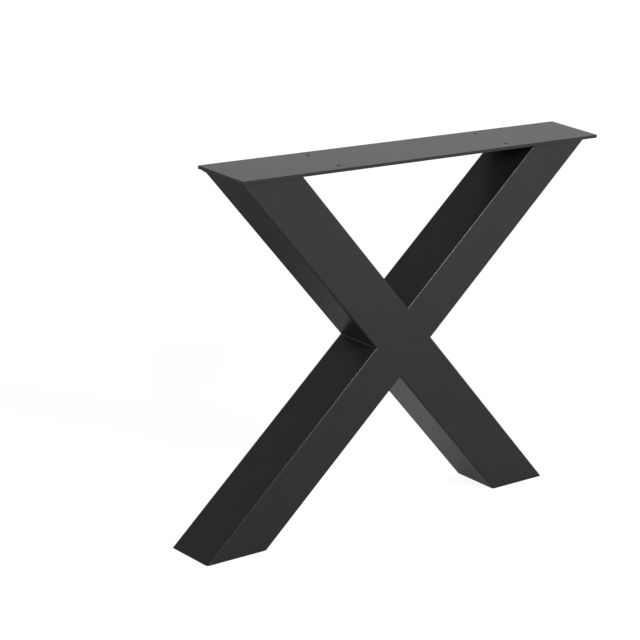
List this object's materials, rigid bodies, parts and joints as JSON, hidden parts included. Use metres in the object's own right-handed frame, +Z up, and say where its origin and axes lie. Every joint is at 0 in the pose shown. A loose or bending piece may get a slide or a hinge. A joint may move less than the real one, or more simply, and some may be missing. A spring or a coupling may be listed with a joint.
{
  "type": "x shaped table leg",
  "caption": "Welded X of square steel tube under a flat screw-on plate, with closed level feet, that carries one end of a table top.",
  "frame": {"origin": "on the floor, under the middle of the mounting plate", "axes": "+X along the mounting plate, -Y to the front face, +Z up"},
  "size_m": [0.928, 0.12, 0.72],
  "materials": {
    "black_powder_coat": "black matt powder coat with a fine grain",
    "black_plastic": "plain black moulded plastic"
  },
  "bodies": {
    "root": {"mounting_plate": "black_powder_coat", "through_tube": "black_powder_coat", "upper_half_tube": "black_powder_coat", "lower_half_tube": "black_powder_coat", "left_foot_plate": "black_powder_coat", "right_foot_plate": "black_powder_coat", "crossing_weld_top": "black_powder_coat", "crossing_weld_right": "black_powder_coat", "crossing_weld_left": "black_powder_coat", "crossing_weld_bottom": "black_powder_coat", "plate_weld_left": "black_powder_coat", "plate_weld_right": "black_powder_coat", "left_front_glide": "black_plastic", "left_rear_glide": "black_plastic", "right_front_glide": "black_plastic", "right_rear_glide": "black_plastic"}
  },
  "joints": []
}
